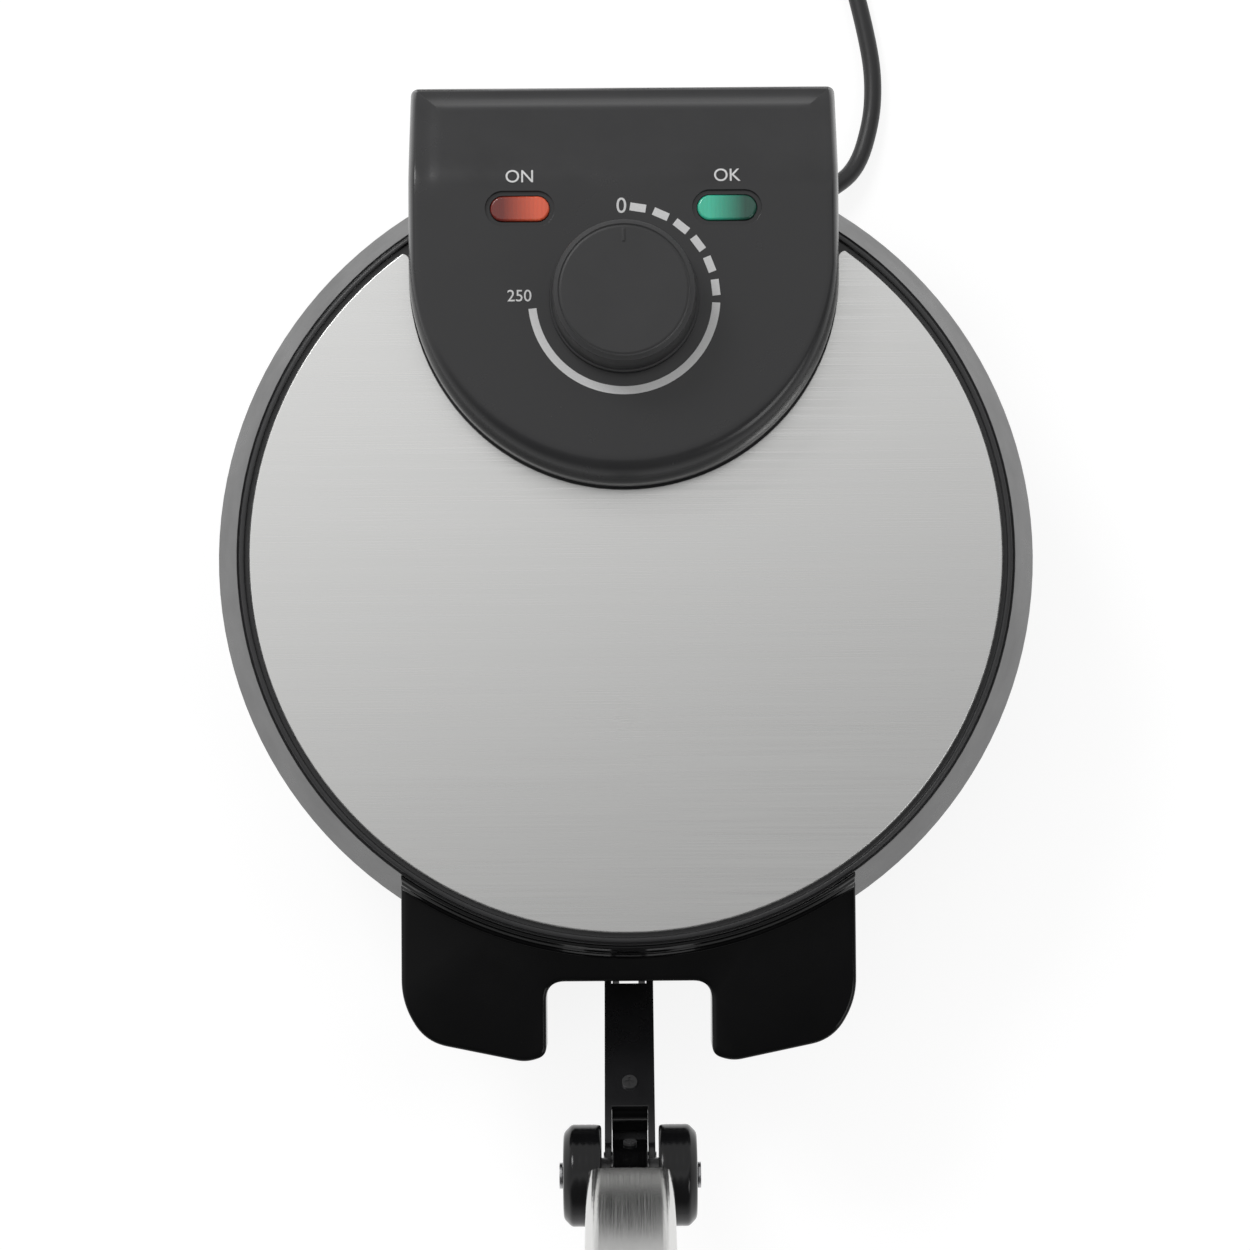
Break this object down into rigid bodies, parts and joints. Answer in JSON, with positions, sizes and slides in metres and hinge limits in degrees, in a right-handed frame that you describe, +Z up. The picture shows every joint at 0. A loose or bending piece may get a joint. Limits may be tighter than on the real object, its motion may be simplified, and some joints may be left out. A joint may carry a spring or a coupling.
{
  "type": "chapati maker",
  "caption": "Round electric flatbread press: base and hinged lid with cooking plates, dial pod, folding post and roller lever that presses the lid",
  "frame": {"origin": "on the table, under the axis of the cooking plates", "axes": "+X right seen from the front, +Y to the hinge and the mains lead, +Z up"},
  "size_m": [0.2854, 0.6111, 0.1955],
  "materials": {
    "housing_black": "satin black moulded plastic",
    "gloss_black": "polished black plastic",
    "pod_black": "fine satin black plastic",
    "brushed_cover": "fine horizontal brushing",
    "cast_plate": "dark non-stick coated casting",
    "sheet_steel": "bare pressed sheet",
    "pan_paint": "black painted sheet",
    "post_paint": "gloss black painted steel",
    "screw_steel": "zinc plated",
    "black_screw": "black coated",
    "element_tube": "sheathed tube",
    "foot_rubber": "matte",
    "roller_rubber": "satin black",
    "handle_metal": "satin nickel",
    "knob_black": "soft matte",
    "red_lens": "tinted",
    "green_lens": "tinted",
    "lamp_glass": "clear",
    "ceramic_white": "moulded block",
    "wire_sleeve": "woven sleeve",
    "cord_black": "mains lead sheath",
    "plug_black": "moulded",
    "brass_pins": "polished",
    "tie_white": "flat tie",
    "fuse_body": "cased fuse"
  },
  "bodies": {
    "base": {"base_shell": "housing_black", "base_bottom_pan": "pan_paint", "rubber_feet": "foot_rubber", "base_screws": "screw_steel", "lower_plate": "cast_plate", "lower_heating_element": "element_tube", "lower_heat_reflector": "sheet_steel", "lower_plate_screws": "screw_steel", "thermal_fuse": "fuse_body", "terminal_block": "ceramic_white", "base_wiring": "wire_sleeve", "post_bracket": "post_paint", "bracket_screws": "black_screw", "post_pivot_pin": "screw_steel", "hinge_pins": "screw_steel", "cord_clamp": "ceramic_white", "strain_relief": "cord_black", "power_cord": "cord_black", "cord_coil": "cord_black", "cord_tail": "cord_black", "cord_tie": "tie_white", "plug_body": "plug_black", "plug_pins": "brass_pins"},
    "lid": {"lid_shell": "housing_black", "lid_steel_cover": "brushed_cover", "front_collar": "gloss_black", "collar_screws": "screw_steel", "control_pod": "pod_black", "pod_screws": "screw_steel", "upper_plate": "cast_plate", "upper_heating_element": "element_tube", "upper_heat_reflector": "sheet_steel", "upper_plate_screws": "screw_steel", "thermostat_body": "ceramic_white", "thermostat_bracket": "sheet_steel", "power_lamp_lens": "red_lens", "ready_lamp_lens": "green_lens", "lamp_bulbs": "lamp_glass", "lid_wiring": "wire_sleeve", "hinge_arms": "sheet_steel", "hinge_arm_screws": "screw_steel"},
    "dial_knob": {"knob": "knob_black", "thermostat_shaft": "screw_steel"},
    "post": {"press_post": "post_paint", "post_stop_block": "gloss_black", "post_screw": "black_screw", "lever_pin": "screw_steel"},
    "lever": {"lever_tongue": "gloss_black", "tongue_screw": "black_screw", "press_handle": "handle_metal", "handle_screws": "screw_steel"},
    "rollers": {"roller_axle": "screw_steel", "press_rollers": "roller_rubber", "roller_washers": "black_screw"}
  },
  "joints": [
    {"name": "lid_hinge", "type": "hinge", "parent": "base", "child": "lid", "pos_m": [0, 0.148, 0.06], "axis": [-1, 0, 0], "range_deg": [0, 100]},
    {"name": "knob_turn", "type": "hinge", "parent": "lid", "child": "dial_knob", "pos_m": [0, 0.0851, 0.117], "axis": [0, 0, -1], "range_deg": [0, 264]},
    {"name": "post_swing", "type": "hinge", "parent": "base", "child": "post", "pos_m": [0, -0.149, 0.022], "axis": [-1, 0, 0], "range_deg": [0, 43]},
    {"name": "lever_swing", "type": "hinge", "parent": "post", "child": "lever", "pos_m": [0, -0.20983, 0.06953], "axis": [-1, 0, 0], "range_deg": [0, 42.4]},
    {"name": "roller_spin", "type": "hinge", "parent": "lever", "child": "rollers", "pos_m": [0, -0.21321, 0.08414], "axis": [1, 0, 0], "continuous": true}
  ]
}
